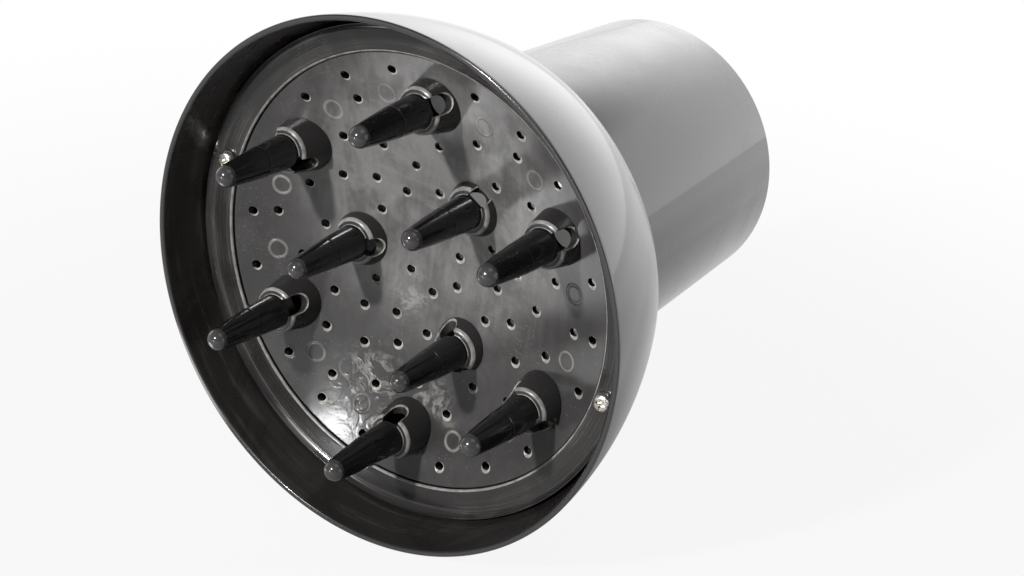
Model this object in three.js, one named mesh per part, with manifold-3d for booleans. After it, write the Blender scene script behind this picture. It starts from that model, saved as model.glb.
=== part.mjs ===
// Diffuser attachment for a hair dryer: a wide bell on a tapered collar, a perforated dish in
// the bell, nine hollow fingers in two rings, and a clamping ring held down by two screws.
//
// Lengths are millimetres. Every piece is built with the common axis along +Z, which points out
// of the mouth, and z = 0 in the plane of the rim. Depths are measured back from that plane.
// The finished group is turned so that the mouth faces -Y, with the origin in the middle of the
// collar's open end, where the dryer's nozzle enters.

import * as THREE from 'three';
import { mergeVertices } from 'three/addons/utils/BufferGeometryUtils.js';
import Module from 'manifold-3d';

const wasm = await Module();
wasm.setup();

// ---- Driving dimensions --------------------------------------------------------------------

const fitGap = 0.3; // between pieces that touch or fit into one another

// Bell
const rimRadius = 80;
const shoulderInset = 12.8; // how much narrower the shoulder is than the rim
const shoulderDepth = 42;
const flankBulge = 2; // how far the flank stands out from a straight cone, halfway down
const bellWall = 1.8;
const lipRound = 0.5;
const shoulderRound = 3;
const backLean = 12; // degrees that the back wall leans towards the collar
const seatWidth = 4; // the ledge inside the bell that carries the dish
const seatThickness = 1.5;

// Collar
const collarEndRadius = 43.6;
const collarEndDepth = 152;
const collarTaper = 2.9; // degrees a side, wider towards the bell
const collarWall = 2;
const flangeReach = 5; // how far its inner flange laps the bell's back wall
const flangeThickness = 2;

// Clamping ring
const ringTopDepth = 16.2;
const ringThickness = 2;
const ringWidth = 8.6;
const ringBevel = 1.2;
const ringRound = 0.5;

// Dish
const dishRimDrop = 1.1; // from the ring's face to the edge of the dish
const dishSagitta = 11.6;
const plateThickness = 2;

// Vents, on circles one pitch apart
const ventRadius = 1.15;
const ventMargin = 5.4; // from the outermost circle to the dish's edge
const ventCircles = 8;
const centreVentCircle = 9.4;
const ventSpread = 15; // degrees between neighbours on a sector's inner circles
const outerVentSpread = 16.4;

// Fingers
const outerFingerInset = 13.9; // from the dish's edge to the outer fingers
const fingerRowGap = 26; // between the outer and the inner fingers' circles
const outerBossHeight = 9;
const innerBossHeight = 4.1;
const bossTopRadius = 6.9;
const bossBaseRadius = 8.5;
const bossRound = 0.5;
const bossCeiling = 1.2;
const spigotRadius = 6.6;
const spigotReach = 1.2; // past the back of the dish
const hollowRadius = 5.4;
const shankFootRadius = 5.2;
const shankLength = 25.8; // from the step to the middle of the round tip
const tipRadius = 3.3;
const shankBulge = 0.25;
const boreRadius = 3.7;
const boreAboveStep = 9;
const outletWidth = 5.4;
const outerOutletDepth = 6.3;
const innerOutletDepth = 4;
const outletInnerReach = 4.2;

// Screws
const screwInset = 3.8; // from the ring's inner edge
const screwAngle = 167.6; // degrees, the first of two opposite screws
const screwShankRadius = 1.45;
const screwLength = 9.5;
const screwHeadRadius = 2.7;
const screwHeadHeight = 2;
const screwHeadRim = 0.6; // straight part of the head's edge
const recessWidth = 0.8;
const recessLength = 3.2;
const recessDepth = 1.1;
const postRadius = 3.3;
const postSpare = 1.5; // depth of the post's hole past the screw's tip
const postFloor = 1.2;

// Facets round one turn
const bodyFacets = 60;
const fingerFacets = 18;
const ventFacets = 6;
const screwFacets = 12;

// Angles are seen from the front, anticlockwise from +X. One outer finger stands at the top.
const outerFingerAngles = [90, 150, 210, 270, 330, 30];
const innerFingerAngles = [60, 180, 300];
const turnedFingerAngle = 90; // the outer finger here sits turned in its socket
const fingerTurn = -60;
const sectorAngles = [0, 60, 120, 180, 240, 300];
const sectorTurns = [-1.2, -2.4, 0.6, -2, -2.8, 0.7]; // degrees that each sector's vents lean

const degrees = Math.PI / 180;

// ---- Sizes that follow from them -----------------------------------------------------------

/** The bell's outside radius at a depth, down to the shoulder. */
function flankRadius(depth) {
  const share = depth / shoulderDepth;
  return rimRadius - shoulderInset * share + 4 * flankBulge * share * (1 - share);
}

/** The bell's inside radius at a depth. */
function insideRadius(depth) {
  return flankRadius(depth) - bellWall;
}

/** The collar's outside radius at a depth. */
function collarRadius(depth) {
  return collarEndRadius + (collarEndDepth - depth) * Math.tan(collarTaper * degrees);
}

/** The point at an angle on a circle about the axis. */
function onCircle(radius, angle) {
  return [radius * Math.cos(angle * degrees), radius * Math.sin(angle * degrees)];
}

/** Even steps from one number to another, both ends included. */
function steps(from, to, count) {
  return Array.from({ length: count + 1 }, (_, i) => from + ((to - from) * i) / count);
}

// The shoulder's arc runs from the end of the flank round to the back wall.
const flankEndAngle = Math.atan((shoulderInset + 4 * flankBulge) / shoulderDepth);
const backAngle = (90 - backLean) * degrees;
const shoulderCentreRadius = flankRadius(shoulderDepth) - shoulderRound * Math.cos(flankEndAngle);
const shoulderCentreDepth = shoulderDepth - shoulderRound * Math.sin(flankEndAngle);

/** A point [radius, z] at an angle round the shoulder's centre, a given reach from it. */
function shoulderPoint(angle, reach) {
  return [
    shoulderCentreRadius + reach * Math.cos(angle),
    -shoulderCentreDepth - reach * Math.sin(angle),
  ];
}

/** Height of the back wall's outer face at a radius, or of a face a given inset within it. */
function backZ(radius, inset) {
  const [startRadius, startZ] = shoulderPoint(backAngle, shoulderRound - inset);
  return startZ - (startRadius - radius) / Math.tan(backAngle);
}

const rootRadius = collarRadius(shoulderDepth);
const openingRadius = rootRadius + fitGap;

const ringBottomDepth = ringTopDepth + ringThickness;
const flangeDepth = ringBottomDepth + fitGap; // the dish's flat flange, under the ring
const flangeBottomDepth = flangeDepth + plateThickness;
const seatDepth = flangeBottomDepth + fitGap;
const ringRadius = insideRadius(ringBottomDepth) - fitGap;
const ringInnerRadius = ringRadius - ringWidth;
const dishEdgeRadius = ringInnerRadius - fitGap;
const dishSphere = (dishEdgeRadius ** 2 + dishSagitta ** 2) / (2 * dishSagitta);

/** Height of the dish's front face at a radius. */
function dishZ(radius) {
  const rise = dishSphere - Math.sqrt(dishSphere ** 2 - radius ** 2);
  return rise - ringTopDepth - dishRimDrop - dishSagitta;
}

const ventPitch = (dishEdgeRadius - ventMargin) / ventCircles;
const outerFingerCircle = dishEdgeRadius - outerFingerInset;
const innerFingerCircle = outerFingerCircle - fingerRowGap;

const screwCircle = ringInnerRadius + screwInset;
const screwHoleRadius = screwShankRadius + fitGap;
const screwAngles = [screwAngle, screwAngle + 180];
const screwSeatZ = fitGap - ringTopDepth;
const screwTipZ = screwSeatZ - screwLength;

// ---- Solids --------------------------------------------------------------------------------

/** Makes a manifold solid from a closed geometry. */
function solidOf(geometry) {
  geometry.deleteAttribute('normal');
  geometry.deleteAttribute('uv');
  const merged = mergeVertices(geometry, 1e-4);
  const index = Array.from(merged.index.array);
  const triangles = [];
  for (let i = 0; i < index.length; i += 3) {
    const [a, b, c] = index.slice(i, i + 3);
    if (a !== b && b !== c && c !== a) triangles.push(a, b, c);
  }
  return new wasm.Manifold(new wasm.Mesh({
    numProp: 3,
    vertProperties: new Float32Array(merged.attributes.position.array),
    triVerts: new Uint32Array(triangles),
  }));
}

/** Turns a solid back into a geometry with flat faces. */
function geometryOf(solid) {
  const mesh = solid.getMesh();
  const geometry = new THREE.BufferGeometry();
  geometry.setAttribute('position', new THREE.BufferAttribute(mesh.vertProperties, 3));
  geometry.setIndex(new THREE.BufferAttribute(mesh.triVerts, 1));
  const flat = geometry.toNonIndexed();
  flat.computeVertexNormals();
  return flat;
}

/** Revolves an outline of [radius, z] points, listed anticlockwise, about the Z axis. */
function revolve(outline, facets) {
  const closed = [...outline, outline[0]];
  const lathe = new THREE.LatheGeometry(closed.map(([r, z]) => new THREE.Vector2(r, z)), facets);
  lathe.rotateX(Math.PI / 2);
  return solidOf(lathe);
}

/** A cylinder along Z between two heights, at [x, y]. */
function cylinder(radius, fromZ, toZ, [x, y], facets) {
  const geometry = new THREE.CylinderGeometry(radius, radius, toZ - fromZ, facets);
  geometry.rotateX(Math.PI / 2);
  geometry.translate(x, y, (fromZ + toZ) / 2);
  return solidOf(geometry);
}

/** Joins a list of solids into one. */
function joined(solids) {
  return solids.reduce((all, solid) => all.add(solid));
}

/** Moves a solid from the Z axis out to a circle, turned with its angle. */
function standAt(solid, circle, angle) {
  return solid.rotate([0, 0, angle]).translate([...onCircle(circle, angle), 0]);
}

/** The screws' clearance holes between two heights. */
function screwHoles(fromZ, toZ) {
  const hole = cylinder(screwHoleRadius, fromZ, toZ, [0, 0], screwFacets);
  return joined(screwAngles.map((angle) => standAt(hole, screwCircle, angle)));
}

// ---- Bell ----------------------------------------------------------------------------------

/** The bell's outside, from the back opening forward to the lip. */
function bellOutside() {
  return [
    [openingRadius, backZ(openingRadius, 0)],
    ...steps(backAngle, flankEndAngle, 3).map((angle) => shoulderPoint(angle, shoulderRound)),
    ...steps(shoulderDepth, lipRound, 7).slice(1).map((depth) => [flankRadius(depth), -depth]),
  ];
}

/** The bell's inside, from the lip back to the opening, past the dish's seat. */
function bellInside() {
  const innerRound = shoulderRound - bellWall;
  const seatRadius = insideRadius(seatDepth) - seatWidth;
  const seatFootDepth = seatDepth + seatThickness + seatWidth / 2;
  return [
    ...steps(lipRound, seatDepth, 3).map((depth) => [insideRadius(depth), -depth]),
    [seatRadius, -seatDepth],
    [seatRadius, -seatDepth - seatThickness],
    ...steps(seatFootDepth, shoulderCentreDepth, 2).map((depth) => [insideRadius(depth), -depth]),
    ...steps(flankEndAngle, backAngle, 2).slice(1).map((angle) => shoulderPoint(angle, innerRound)),
    [openingRadius, backZ(openingRadius, bellWall)],
  ];
}

function bellShell() {
  const lip = [
    [rimRadius - lipRound, 0],
    [rimRadius - bellWall + lipRound, 0],
  ];
  const outside = bellOutside();
  const shell = revolve([...outside, ...lip, ...bellInside()], bodyFacets);
  const envelope = revolve([[0, outside[0][1]], ...outside, [0, -lipRound]], bodyFacets);
  const holeEndZ = screwTipZ - postSpare;
  const post = cylinder(postRadius, holeEndZ - postFloor, -seatDepth, [0, 0], screwFacets);
  const posts = joined(screwAngles.map((angle) => standAt(post, screwCircle, angle)));
  return shell
    .add(posts.intersect(envelope))
    .subtract(screwHoles(holeEndZ, 0));
}

// ---- Collar --------------------------------------------------------------------------------

function collarTube() {
  const lapRadius = openingRadius + flangeReach;
  const lapZ = (radius) => backZ(radius, bellWall) + fitGap;
  return revolve([
    [collarEndRadius - collarWall, -collarEndDepth],
    [collarEndRadius - lipRound, -collarEndDepth],
    [collarEndRadius, -collarEndDepth + lipRound],
    [rootRadius, backZ(rootRadius, 0)],
    [rootRadius, lapZ(rootRadius)],
    [lapRadius, lapZ(lapRadius)],
    [lapRadius, lapZ(lapRadius) + flangeThickness],
    [rootRadius - collarWall, lapZ(rootRadius) + flangeThickness],
  ], bodyFacets);
}

// ---- Dish and clamping ring ----------------------------------------------------------------

/** Places of the vents, as [x, y] pairs: six like sectors round the middle. */
function ventPlaces() {
  return sectorAngles.flatMap((sector, i) => {
    const vents = sector + sectorTurns[i];
    const between = sector + 30;
    const places = [
      onCircle(centreVentCircle, between),
      onCircle(3 * ventPitch, between),
      onCircle(5 * ventPitch, between),
      onCircle(5 * ventPitch, vents),
      onCircle(6 * ventPitch, vents - ventSpread),
      onCircle(6 * ventPitch, vents + ventSpread),
      onCircle(7 * ventPitch, vents),
      onCircle(8 * ventPitch, sector - outerVentSpread),
      onCircle(8 * ventPitch, sector),
      onCircle(8 * ventPitch, sector + outerVentSpread),
    ];
    if (!innerFingerAngles.includes(sector)) {
      places.push(
        onCircle(3 * ventPitch, sector),
        onCircle(4 * ventPitch, vents - ventSpread),
        onCircle(4 * ventPitch, vents + ventSpread),
      );
    }
    return places;
  });
}

/** The dish's face as outline points from the axis outwards, a given offset from the front. */
function dishCurve(toRadius, offset) {
  return steps(0, toRadius, 5).map((radius) => [radius, dishZ(radius) + offset]);
}

function fingerPlate() {
  const plateRadius = insideRadius(flangeBottomDepth) - fitGap;
  const blank = revolve([
    ...dishCurve(dishEdgeRadius - plateThickness, -plateThickness),
    [dishEdgeRadius - plateThickness, -flangeBottomDepth],
    [plateRadius, -flangeBottomDepth],
    [plateRadius, -flangeDepth],
    [dishEdgeRadius, -flangeDepth],
    ...dishCurve(dishEdgeRadius, 0).reverse(),
  ], bodyFacets);
  const back = dishZ(0) - 2 * plateThickness;
  const vents = ventPlaces().map((place) => cylinder(ventRadius, back, 0, place, ventFacets));
  const socket = cylinder(spigotRadius + fitGap, back, 0, [0, 0], fingerFacets);
  const sockets = [
    ...outerFingerAngles.map((angle) => standAt(socket, outerFingerCircle, angle)),
    ...innerFingerAngles.map((angle) => standAt(socket, innerFingerCircle, angle)),
  ];
  return blank.subtract(joined([...vents, ...sockets, screwHoles(back, 0)]));
}

function clampRing() {
  const ring = revolve([
    [ringInnerRadius, -ringBottomDepth],
    [ringRadius, -ringBottomDepth],
    [ringRadius, -ringTopDepth - ringRound],
    [ringRadius - ringRound, -ringTopDepth],
    [ringInnerRadius + ringBevel, -ringTopDepth],
    [ringInnerRadius, -ringTopDepth - ringBevel],
  ], bodyFacets);
  return ring.subtract(screwHoles(-ringBottomDepth - ringThickness, 0));
}

// ---- Fingers -------------------------------------------------------------------------------
//
// A finger is built on the Z axis, with +X pointing away from the dish's middle.

/** The shank above a boss, with its round tip, and the bore that reaches up into it. */
function shank(stepZ) {
  const rootZ = stepZ - bossCeiling;
  const sides = steps(0, 1, 3).map((share) => [
    shankFootRadius + (tipRadius - shankFootRadius) * share + 4 * shankBulge * share * (1 - share),
    stepZ + shankLength * share,
  ]);
  const tip = steps(0, Math.PI / 2, 3).slice(1).map((angle) => [
    tipRadius * Math.cos(angle),
    stepZ + shankLength + tipRadius * Math.sin(angle),
  ]);
  const body = revolve([[0, rootZ], [shankFootRadius, rootZ], ...sides, ...tip], fingerFacets);
  return body.subtract(cylinder(boreRadius, rootZ - 1, stepZ + boreAboveStep, [0, 0], fingerFacets));
}

/** Two opposite slots with round bottoms, cut from the step's edge down through the boss. */
function outletCutter(stepZ, outletDepth) {
  const halfWidth = outletWidth / 2;
  const outline = new THREE.Shape();
  outline.moveTo(halfWidth, bossCeiling);
  outline.lineTo(-halfWidth, bossCeiling);
  outline.absarc(0, halfWidth - outletDepth, halfWidth, Math.PI, 2 * Math.PI, false);
  const depth = 2 * bossBaseRadius;
  const slot = new THREE.ExtrudeGeometry(outline, { depth, bevelEnabled: false, curveSegments: 5 });
  slot.rotateX(Math.PI / 2);
  slot.rotateZ(Math.PI / 2);
  slot.translate(outletInnerReach, 0, stepZ);
  const first = solidOf(slot);
  return first.add(first.rotate([0, 0, 180]));
}

/** Everything outside the spigot that lies behind a finger's sloping seat on the dish. */
function behindSeat(circle) {
  const slope = Math.asin(circle / dishSphere);
  const clearance = fitGap + bossBaseRadius ** 2 / (2 * dishSphere);
  const size = 4 * bossBaseRadius;
  const block = new THREE.BoxGeometry(size, size, size);
  block.translate(0, 0, clearance - size / 2);
  block.rotateY(-slope);
  block.translate(0, 0, dishZ(circle));
  const spigot = cylinder(spigotRadius, dishZ(circle) - size, dishZ(circle) + size, [0, 0], fingerFacets);
  return solidOf(block).subtract(spigot);
}

/** A hollow finger with two air outlets, standing in its socket at an angle on a circle. */
function finger({ circle, angle, bossHeight, outletDepth, turn }) {
  const stepZ = dishZ(circle) + bossHeight;
  const flare = (bossBaseRadius - bossTopRadius) / bossHeight;
  const spigotEndZ = dishZ(circle - spigotRadius) - plateThickness - spigotReach;
  const boss = revolve([
    [hollowRadius, spigotEndZ],
    [bossTopRadius + flare * (stepZ - spigotEndZ), spigotEndZ],
    [bossTopRadius + flare * bossRound, stepZ - bossRound],
    [bossTopRadius - bossRound, stepZ],
    [boreRadius, stepZ],
    [boreRadius, stepZ - bossCeiling],
    [hollowRadius, stepZ - bossCeiling],
  ], fingerFacets);
  const standing = boss
    .subtract(behindSeat(circle))
    .subtract(outletCutter(stepZ, outletDepth).rotate([0, 0, turn]))
    .add(shank(stepZ));
  return standAt(standing, circle, angle);
}

// ---- Screws --------------------------------------------------------------------------------

/** A pan-head screw with a cross recess, seated on the ring at an angle. */
function plateScrew(angle) {
  const domeRadius = screwHeadRadius - screwHeadHeight + screwHeadRim;
  const dome = steps(0, Math.PI / 2, 3).slice(1, -1).map((turn) => [
    domeRadius + (screwHeadRadius - domeRadius) * Math.cos(turn),
    screwSeatZ + screwHeadRim + (screwHeadHeight - screwHeadRim) * Math.sin(turn),
  ]);
  const body = revolve([
    [0, screwTipZ],
    [screwShankRadius / 2, screwTipZ],
    [screwShankRadius, screwTipZ + screwShankRadius],
    [screwShankRadius, screwSeatZ],
    [screwHeadRadius, screwSeatZ],
    [screwHeadRadius, screwSeatZ + screwHeadRim],
    ...dome,
    [domeRadius, screwSeatZ + screwHeadHeight],
    [0, screwSeatZ + screwHeadHeight],
  ], screwFacets);
  const arm = new THREE.BoxGeometry(recessLength, recessWidth, 2 * recessDepth);
  arm.translate(0, 0, screwSeatZ + screwHeadHeight);
  const slot = solidOf(arm);
  const recess = slot.add(slot.rotate([0, 0, 90]));
  return standAt(body.subtract(recess), screwCircle, angle);
}

// ---- Assembly ------------------------------------------------------------------------------

const blackPlastic = { color: 0x1b191b, roughness: 0.18, metalness: 0 };
const darkPlastic = { color: 0x242224, roughness: 0.22, metalness: 0 };
const chromedSteel = { color: 0xc8c6c2, roughness: 0.2, metalness: 1 };

const diffuser = new THREE.Group();

/** Puts a piece into the diffuser under its name. */
function put(name, solid, finish) {
  const mesh = new THREE.Mesh(geometryOf(solid), new THREE.MeshStandardMaterial(finish));
  mesh.name = name;
  diffuser.add(mesh);
}

put('bell_shell', bellShell(), blackPlastic);
put('collar_tube', collarTube(), blackPlastic);
put('clamp_ring', clampRing(), blackPlastic);
put('finger_plate', fingerPlate(), darkPlastic);
outerFingerAngles.forEach((angle, i) => {
  put(`outer_finger_${i + 1}`, finger({
    circle: outerFingerCircle,
    angle,
    bossHeight: outerBossHeight,
    outletDepth: outerOutletDepth,
    turn: angle === turnedFingerAngle ? fingerTurn : 0,
  }), blackPlastic);
});
innerFingerAngles.forEach((angle, i) => {
  put(`inner_finger_${i + 1}`, finger({
    circle: innerFingerCircle,
    angle,
    bossHeight: innerBossHeight,
    outletDepth: innerOutletDepth,
    turn: 0,
  }), blackPlastic);
});
screwAngles.forEach((angle, i) => put(`plate_screw_${i + 1}`, plateScrew(angle), chromedSteel));

diffuser.position.z = collarEndDepth;
const upright = new THREE.Group();
upright.add(diffuser);
upright.rotation.x = Math.PI / 2;

export default upright;
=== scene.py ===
import math

import bmesh
import bpy
from mathutils import Matrix, Vector


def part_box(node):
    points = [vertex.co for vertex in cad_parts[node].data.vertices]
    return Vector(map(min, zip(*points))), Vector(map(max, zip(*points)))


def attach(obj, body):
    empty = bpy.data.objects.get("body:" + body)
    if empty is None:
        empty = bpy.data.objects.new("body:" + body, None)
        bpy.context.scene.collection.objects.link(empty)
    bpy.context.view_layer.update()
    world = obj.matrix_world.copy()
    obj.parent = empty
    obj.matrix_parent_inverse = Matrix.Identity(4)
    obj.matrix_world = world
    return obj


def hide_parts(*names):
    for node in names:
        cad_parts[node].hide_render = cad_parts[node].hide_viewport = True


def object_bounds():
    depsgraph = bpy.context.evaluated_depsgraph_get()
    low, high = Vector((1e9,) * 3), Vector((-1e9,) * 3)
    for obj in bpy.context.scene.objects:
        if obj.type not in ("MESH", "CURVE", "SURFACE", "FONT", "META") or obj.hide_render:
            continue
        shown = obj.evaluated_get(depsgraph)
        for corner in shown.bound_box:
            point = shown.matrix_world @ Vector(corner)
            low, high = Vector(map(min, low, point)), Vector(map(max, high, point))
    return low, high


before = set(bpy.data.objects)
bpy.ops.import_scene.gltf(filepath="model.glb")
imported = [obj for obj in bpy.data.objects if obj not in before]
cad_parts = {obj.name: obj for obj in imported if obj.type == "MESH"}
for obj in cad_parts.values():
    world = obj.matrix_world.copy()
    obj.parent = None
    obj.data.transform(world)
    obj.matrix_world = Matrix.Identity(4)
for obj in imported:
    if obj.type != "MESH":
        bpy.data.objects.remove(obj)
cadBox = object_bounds()

# Pieces are shaped in millimetres about the Z axis, with the mouth upwards and the rim at height 0.
# This turns a finished piece into the frame: the mouth faces -Y and the rim meets the bell's front.
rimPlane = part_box("bell_shell")[0].y
millimetre = 0.001
intoFrame = (Matrix.Translation((0, rimPlane, 0)) @ Matrix.Rotation(math.pi / 2, 4, "X")
             @ Matrix.Scale(millimetre, 4))

fitGap = 0.3  # between pieces that touch or fit into one another
overcut = 1  # the least that a long cutter reaches past what it cuts
roundSteps = 4  # faces across a rounded corner
weldReach = 0.0005  # corners of a spun shape that are closer than this become one
sliver = 0.004  # edges shorter than this are closed up
mostCorners = 4  # a face with more is split
finishSlots = 5  # the most finishes that one piece has
placeDecimals = 3  # of a millimetre and of a degree
sharpAngle = 32  # degrees from which an edge is shaded sharp


# shapes

def spunShape(outline, turns):
    # Corners are (radius, height) or (radius, height, rounding), anticlockwise.
    # An outline that starts on the axis also ends there, and any other one closes on itself.
    shape = bmesh.new()
    corners = [shape.verts.new((corner[0], 0, corner[1])) for corner in outline]
    for start, end in zip(corners, corners[1:]):
        shape.edges.new((start, end))
    if outline[0][0] > 0:
        shape.edges.new((corners[-1], corners[0]))
    for rounding in sorted({corner[2] for corner in outline if len(corner) > 2}):
        softened = [vert for vert, corner in zip(corners, outline) if corner[2:] == (rounding,)]
        bmesh.ops.bevel(shape, geom=softened, offset=rounding, segments=roundSteps, profile=0.5,
                        affect="VERTICES", material=-1)
    bmesh.ops.spin(shape, geom=shape.verts[:] + shape.edges[:], cent=(0, 0, 0), axis=(0, 0, 1),
                   dvec=(0, 0, 0), angle=2 * math.pi, steps=turns, use_merge=True)
    bmesh.ops.remove_doubles(shape, verts=shape.verts, dist=weldReach)
    bmesh.ops.recalc_face_normals(shape, faces=shape.faces)
    return shape


def looseObject(shape):
    mesh = bpy.data.meshes.new("shape")
    shape.to_mesh(mesh)
    shape.free()
    thing = bpy.data.objects.new("shape", mesh)
    bpy.context.scene.collection.objects.link(thing)
    return thing


def discard(thing):
    mesh = thing.data
    bpy.data.objects.remove(thing)
    bpy.data.meshes.remove(mesh)


def combined(shape, tool, operation):
    # Boolean of two closed shapes, which are used up.
    blank = looseObject(shape)
    cutter = looseObject(tool)
    for finishSlot in range(finishSlots):
        blank.data.materials.append(None)
    boolean = blank.modifiers.new("boolean", "BOOLEAN")
    boolean.operation = operation
    boolean.solver = "EXACT"
    boolean.object = cutter
    result = bmesh.new()
    result.from_object(blank, bpy.context.evaluated_depsgraph_get())
    discard(blank)
    discard(cutter)
    return result


def painted(shape, finishSlot):
    # The faces that this shape cuts take another of the piece's finishes.
    for face in shape.faces:
        face.material_index = finishSlot
    return shape


def movedCopy(shape, matrix):
    copy = shape.copy()
    bmesh.ops.transform(copy, matrix=matrix, verts=copy.verts)
    return copy


def gathered(shapes):
    # Many separate shapes in one.
    whole = bmesh.new()
    for shape in shapes:
        mesh = bpy.data.meshes.new("part")
        shape.to_mesh(mesh)
        shape.free()
        whole.from_mesh(mesh)
        bpy.data.meshes.remove(mesh)
    return whole


def standAt(circle, angle):
    # Out to a circle about the axis, with +X pointing outwards.
    return Matrix.Rotation(math.radians(angle), 4, "Z") @ Matrix.Translation((circle, 0, 0))


def circlePlace(point):
    # Circle and angle of a point in the frame, as seen from the front, rounded so that like pieces
    # get like places.
    circle = 1000 * math.hypot(point.x, point.z)
    angle = math.degrees(math.atan2(point.z, point.x))
    return round(circle, placeDecimals), round(angle, placeDecimals)


def fingerPlace(node):
    # A finger's axis goes through its tip, the point furthest out of the mouth.
    return circlePlace(min((vert.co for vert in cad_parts[node].data.vertices), key=lambda tip: tip.y))


def screwPlace(node):
    low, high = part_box(node)
    return circlePlace((low + high) / 2)


def steps(start, end, count):
    return [start + (end - start) * step / count for step in range(count + 1)]


def withoutSlivers(shape):
    # The Booleans leave faces with no area, which are closed up. Merging corners would drop a large
    # face that touches itself, so the large faces are split first.
    def splitLarge():
        large = [face for face in shape.faces if len(face.verts) > mostCorners]
        bmesh.ops.triangulate(shape, faces=large)

    splitLarge()
    bmesh.ops.remove_doubles(shape, verts=shape.verts, dist=sliver)
    bmesh.ops.dissolve_degenerate(shape, dist=sliver, edges=shape.edges)
    splitLarge()


def finishedPiece(name, shape, finishes, node):
    withoutSlivers(shape)
    mesh = bpy.data.meshes.new(name)
    shape.to_mesh(mesh)
    shape.free()
    mesh.transform(intoFrame)
    mesh.shade_smooth()
    mesh.set_sharp_from_angle(angle=math.radians(sharpAngle))
    for material in finishes:
        mesh.materials.append(material)
    piece = bpy.data.objects.new(name, mesh)
    bpy.context.scene.collection.objects.link(piece)
    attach(piece, "root")
    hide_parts(node)
    print("made", name, len(mesh.polygons), "faces")
    return piece


# shader writing

class Wire:
    # One output of a shader node. Sums and products of wires add the Math nodes they need.
    def __init__(self, finish, socket):
        self.finish = finish
        self.socket = socket

    def __add__(self, other):
        return self.finish.maths("ADD", self, other)

    def __radd__(self, other):
        return self.finish.maths("ADD", other, self)

    def __sub__(self, other):
        return self.finish.maths("SUBTRACT", self, other)

    def __rsub__(self, other):
        return self.finish.maths("SUBTRACT", other, self)

    def __mul__(self, other):
        return self.finish.maths("MULTIPLY", self, other)

    def __rmul__(self, other):
        return self.finish.maths("MULTIPLY", other, self)

    def __pow__(self, other):
        return self.finish.maths("POWER", self, other)

    def __mod__(self, other):
        return self.finish.maths("FLOORED_MODULO", self, other)

    def __abs__(self):
        return self.finish.maths("ABSOLUTE", self)


class Finish:
    # The node tree of a material or of the room, with the patterns that the finishes share.
    def __init__(self, owner, constants=None):
        self.owner = owner
        owner.use_nodes = True
        self.tree = owner.node_tree
        for socket, value in (constants or {}).items():
            self.tree.nodes["Principled BSDF"].inputs[socket].default_value = value

    def node(self, kind, settings=None, values=None, output=0):
        made = self.tree.nodes.new(kind)
        for name, setting in (settings or {}).items():
            if name == "stops":
                self.setStops(made.color_ramp, setting)
            else:
                setattr(made, name, setting)
        for name, value in (values or {}).items():
            self.plug(made.inputs[name], value)
        return Wire(self, made.outputs[output])

    def maths(self, operation, *values):
        return self.node("ShaderNodeMath", {"operation": operation}, dict(enumerate(values)))

    def setStops(self, ramp, stops):
        while len(ramp.elements) < len(stops):
            ramp.elements.new(1)
        for element, (position, level) in zip(ramp.elements, stops):
            element.position = position
            element.color = (level, level, level, 1)

    def plug(self, socket, value):
        if isinstance(value, Wire):
            self.tree.links.new(value.socket, socket)
        else:
            socket.default_value = value

    def drive(self, socket, value):
        self.plug(self.tree.nodes["Principled BSDF"].inputs[socket], value)

    def place(self, scale=(1, 1, 1), turn=(0, 0, 0), shift=(0, 0, 0)):
        # Where a point is on the object, in metres, turned and stretched for a pattern.
        coordinates = self.node("ShaderNodeTexCoord", output="Object")
        return self.node("ShaderNodeMapping", None, {
            "Vector": coordinates, "Location": shift, "Rotation": turn, "Scale": scale})

    def axis(self, place, name):
        return self.node("ShaderNodeSeparateXYZ", None, {0: place}, output=name)

    def noise(self, place, scale, detail=3.0, roughness=0.5, distortion=0.0):
        return self.node("ShaderNodeTexNoise", None, {
            "Vector": place, "Scale": scale, "Detail": detail, "Roughness": roughness,
            "Distortion": distortion})

    def ramp(self, value, *stops):
        return self.node("ShaderNodeValToRGB", {"stops": stops}, {0: value})

    def between(self, value, low, high, lowResult=0.0, highResult=1.0):
        # A smooth step from one result to the other as the value goes from low to high.
        return self.node("ShaderNodeMapRange", {"interpolation_type": "SMOOTHSTEP"}, {
            "Value": value, "From Min": low, "From Max": high, "To Min": lowResult,
            "To Max": highResult})

    def mixed(self, share, first, second):
        # A Mix node's colour sockets share their names with others, so they go by number.
        return self.node("ShaderNodeMix", {"data_type": "RGBA"}, {
            0: share, 6: first, 7: second}, output=2)

    def bump(self, height, depth, strength=1.0, after=None):
        values = {"Height": height, "Distance": depth, "Strength": strength}
        if after is not None:
            values["Normal"] = after
        return self.node("ShaderNodeBump", None, values)


# finishes

scuffing = {
    "stretch": (30, 2600, 2600),  # repeats in a metre, along a scuff and across it
    "patches": 34.0,
    "dustPatches": 60.0,
    "speckCore": 0.05,  # a speck's solid middle and its soft edge, as shares of the specks' spacing
    "speckEdge": 0.12,
}

blackPlastic = {
    "coatRoughness": 0.05,
    "coatIor": 1.6,
    "dust": 900.0,  # specks in a metre
    "dustColour": (0.2, 0.19, 0.175, 1),
    "dustShare": 0.5,
    "dustRoughness": 0.3,  # this and the next two are added to the roughness
    "smearRoughness": 0.14,
    "scuffRoughness": 0.12,
    "scuffDepth": 0.000004,
}


def hairlines(finish, turn, amount):
    # Fine scuffs that run one way, in patches.
    lines = finish.noise(finish.place(scuffing["stretch"], turn), 1.0, 1.0)
    patches = finish.noise(finish.place(), scuffing["patches"], 2.0)
    return finish.ramp(lines, (0.66, 0.0), (0.72, 1.0)) * finish.between(patches, 0.5, 0.62) * amount


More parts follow.
